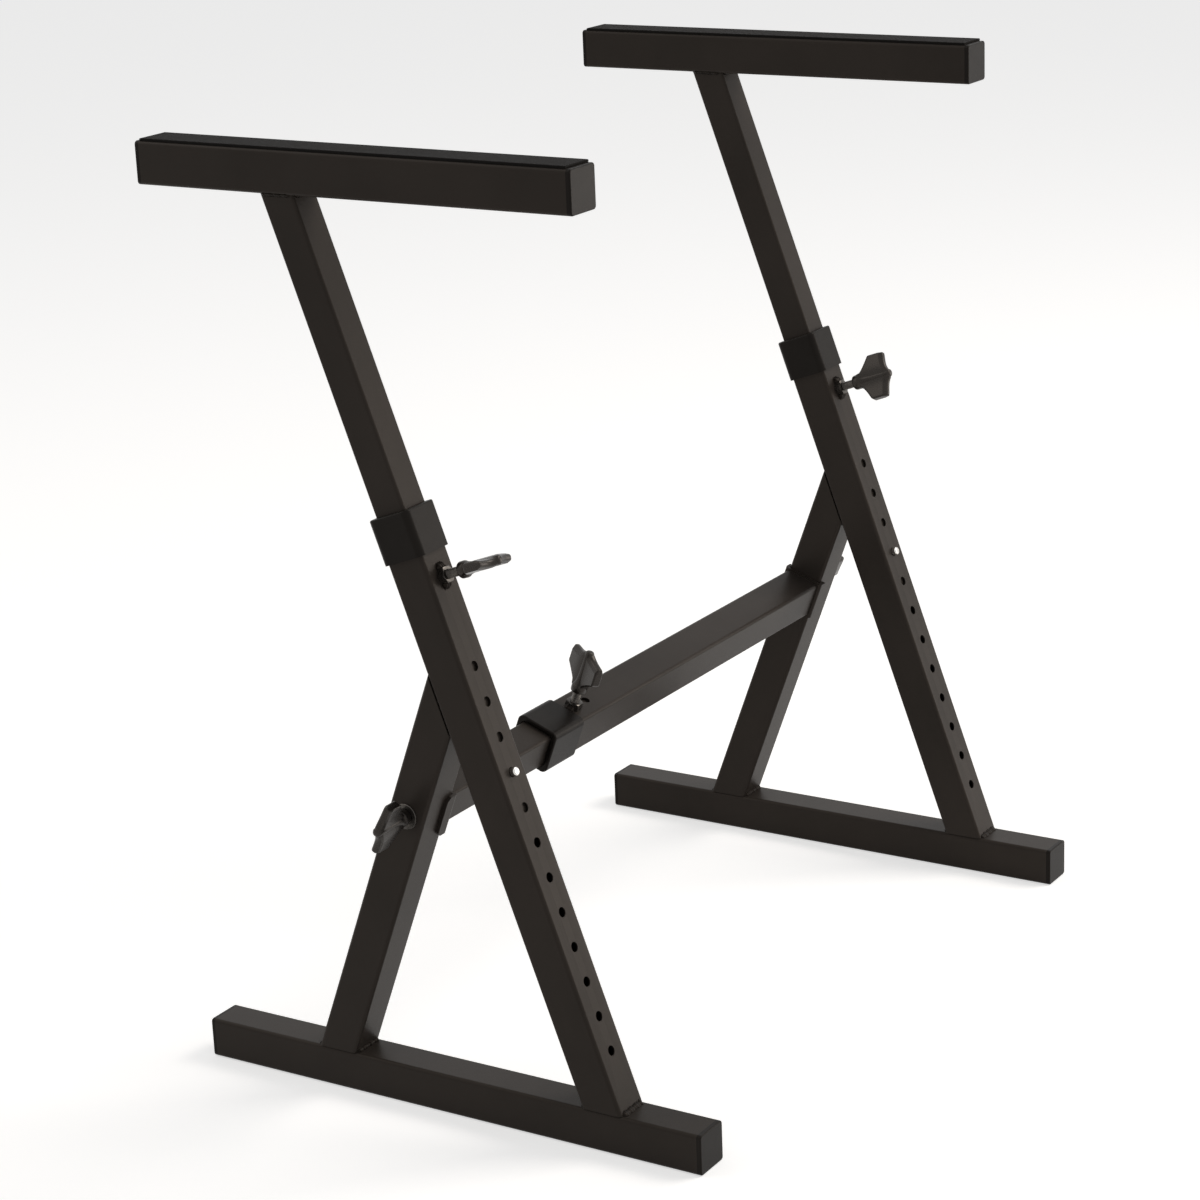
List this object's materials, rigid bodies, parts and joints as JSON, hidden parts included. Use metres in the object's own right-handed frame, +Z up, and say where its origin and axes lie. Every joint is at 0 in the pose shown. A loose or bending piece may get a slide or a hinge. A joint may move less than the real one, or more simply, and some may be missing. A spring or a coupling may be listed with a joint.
{
  "type": "keyboard stand",
  "caption": "Z-shaped stand for a musical keyboard: leaning square-tube sides on flat feet, telescoping arms that lock with spring pins and wing knobs, and a telescoping crossbar.",
  "frame": {"origin": "on the floor, midway between the side frames and midway along the feet", "axes": "+X along the crossbar from the left frame to the right frame, +Y to the back, away from the player, +Z up"},
  "size_m": [0.789, 0.4919, 0.7984],
  "materials": {
    "black_powder_coat": "satin black powder coat with a fine grain and a warm cast",
    "black_plastic": "satin black moulded plastic",
    "black_rubber": "matte black rubber",
    "blackened_steel": "blackened steel, lightly oiled",
    "plated_steel": "bright nickel plate",
    "spring_steel": "bare spring steel"
  },
  "bodies": {
    "left_side": {"foot_tube_left": "black_powder_coat", "foot_front_cap_left": "black_plastic", "foot_rear_cap_left": "black_plastic", "main_tube_left": "black_powder_coat", "brace_tube_left": "black_powder_coat", "height_collar_left": "black_plastic", "height_nut_left": "blackened_steel", "saddle_left": "black_powder_coat", "saddle_nut_left": "blackened_steel", "brace_washer_left": "blackened_steel", "crossbar_inner_tube": "black_powder_coat", "crossbar_guide": "black_plastic"},
    "right_side": {"foot_tube_right": "black_powder_coat", "foot_front_cap_right": "black_plastic", "foot_rear_cap_right": "black_plastic", "main_tube_right": "black_powder_coat", "brace_tube_right": "black_powder_coat", "height_collar_right": "black_plastic", "height_nut_right": "blackened_steel", "saddle_right": "black_powder_coat", "saddle_nut_right": "blackened_steel", "brace_washer_right": "blackened_steel", "crossbar_outer_tube": "black_powder_coat", "crossbar_collar": "black_plastic", "width_nut": "blackened_steel"},
    "left_arm": {"height_tube_left": "black_powder_coat", "height_guide_left": "black_plastic", "snap_spring_left": "spring_steel", "arm_tube_left": "black_powder_coat", "arm_front_cap_left": "black_plastic", "arm_rear_cap_left": "black_plastic", "arm_pad_left": "black_rubber"},
    "left_snap_pin": {"snap_pin_left": "plated_steel"},
    "left_height_knob": {"height_knob_left": "black_plastic", "height_stud_left": "blackened_steel"},
    "left_brace_knob": {"brace_knob_left": "black_plastic", "brace_stud_left": "blackened_steel"},
    "right_arm": {"height_tube_right": "black_powder_coat", "height_guide_right": "black_plastic", "snap_spring_right": "spring_steel", "arm_tube_right": "black_powder_coat", "arm_front_cap_right": "black_plastic", "arm_rear_cap_right": "black_plastic", "arm_pad_right": "black_rubber"},
    "right_snap_pin": {"snap_pin_right": "plated_steel"},
    "right_height_knob": {"height_knob_right": "black_plastic", "height_stud_right": "blackened_steel"},
    "right_brace_knob": {"brace_knob_right": "black_plastic", "brace_stud_right": "blackened_steel"},
    "width_knob": {"width_knob": "black_plastic", "width_stud": "blackened_steel"}
  },
  "joints": [
    {"name": "width_slide", "type": "slide", "parent": "left_side", "child": "right_side", "axis": [1, 0, 0], "range_m": [-0.148, 0.19]},
    {"name": "left_arm_slide", "type": "slide", "parent": "left_side", "child": "left_arm", "axis": [0, 0.342, 0.9397], "range_m": [-0.24, 0.09], "deforming": ["snap_pin_left"]},
    {"name": "left_snap_pin_press", "type": "slide", "parent": "left_arm", "child": "left_snap_pin", "axis": [0, 0.9397, -0.342], "range_m": [0, 0.0065], "stiffness_N_per_m": 2500, "springref_m": -0.004, "deforming": ["snap_spring_left"]},
    {"name": "left_height_turn", "type": "hinge", "parent": "left_side", "child": "left_height_knob", "pos_m": [-0.335, -0.01519, 0.4648], "axis": [0, -0.9397, 0.342], "range_deg": [0, 1080]},
    {"name": "left_brace_turn", "type": "hinge", "parent": "left_side", "child": "left_brace_knob", "pos_m": [-0.3525, 0.02266, 0.26122], "axis": [-1, 0, 0], "range_deg": [0, 1800]},
    {"name": "right_arm_slide", "type": "slide", "parent": "right_side", "child": "right_arm", "axis": [0, 0.342, 0.9397], "range_m": [-0.24, 0.09], "deforming": ["snap_pin_right"]},
    {"name": "right_snap_pin_press", "type": "slide", "parent": "right_arm", "child": "right_snap_pin", "axis": [0, 0.9397, -0.342], "range_m": [0, 0.0065], "stiffness_N_per_m": 2500, "springref_m": -0.004, "deforming": ["snap_spring_right"]},
    {"name": "right_height_turn", "type": "hinge", "parent": "right_side", "child": "right_height_knob", "pos_m": [0.335, -0.01519, 0.4648], "axis": [0, -0.9397, 0.342], "range_deg": [0, 1080]},
    {"name": "right_brace_turn", "type": "hinge", "parent": "right_side", "child": "right_brace_knob", "pos_m": [0.3525, 0.02266, 0.26122], "axis": [1, 0, 0], "range_deg": [0, 1800]},
    {"name": "width_turn", "type": "hinge", "parent": "right_side", "child": "width_knob", "pos_m": [-0.1065, 0.01639, 0.27755], "axis": [0, -0.3584, 0.9336], "range_deg": [0, 1080]}
  ]
}
